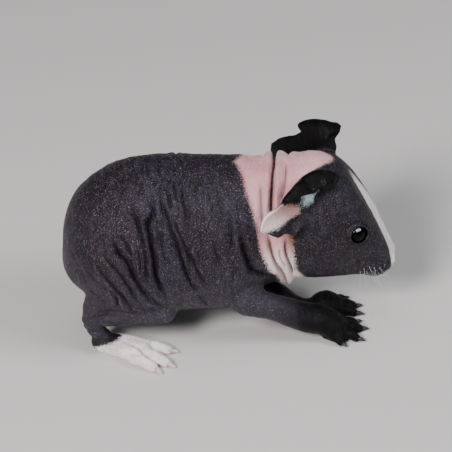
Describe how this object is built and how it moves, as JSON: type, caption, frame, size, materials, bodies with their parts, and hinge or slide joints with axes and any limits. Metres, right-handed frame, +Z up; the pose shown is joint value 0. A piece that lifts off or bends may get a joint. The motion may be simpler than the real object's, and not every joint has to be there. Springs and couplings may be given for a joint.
{
  "type": "skinny pig pup",
  "caption": "Life-size still model of a newborn hairless guinea pig, standing with arched back and bowed head, dark skin with a pale collar and face stripe",
  "frame": {"origin": "bottom centre of the bounding box, on the floor the four soles rest on", "axes": "+X is the way the pup faces, rump to nose, and is the longest extent; +Y is its left; +Z is up"},
  "size_m": [0.1036, 0.0568, 0.0638],
  "materials": {
    "torso": "bare dark skin, finely creased",
    "neck": "bare pale pink skin in folds",
    "head": "bare dark skin with a pale stripe down the face",
    "ear_left": "thin dark skin",
    "ear_right": "thin dark skin, pale inside",
    "eye_left": "wet glossy black",
    "eye_right": "wet glossy black",
    "foreleg_left": "bare dark skin",
    "foreleg_right": "bare dark skin",
    "forepaw_left": "dark skin with short dark hair and dark claws",
    "forepaw_right": "dark skin with short dark hair and dark claws",
    "hind_leg_left": "bare dark skin",
    "hind_leg_right": "bare dark skin",
    "hind_foot_left": "pink skin with short white hair and pale claws",
    "hind_foot_right": "pink skin with short white hair and pale claws"
  },
  "bodies": {
    "root": {"torso": "torso", "neck": "neck", "head": "head", "ear_left": "ear_left", "ear_right": "ear_right", "eye_left": "eye_left", "eye_right": "eye_right", "foreleg_left": "foreleg_left", "foreleg_right": "foreleg_right", "forepaw_left": "forepaw_left", "forepaw_right": "forepaw_right", "hind_leg_left": "hind_leg_left", "hind_leg_right": "hind_leg_right", "hind_foot_left": "hind_foot_left", "hind_foot_right": "hind_foot_right"}
  },
  "joints": []
}
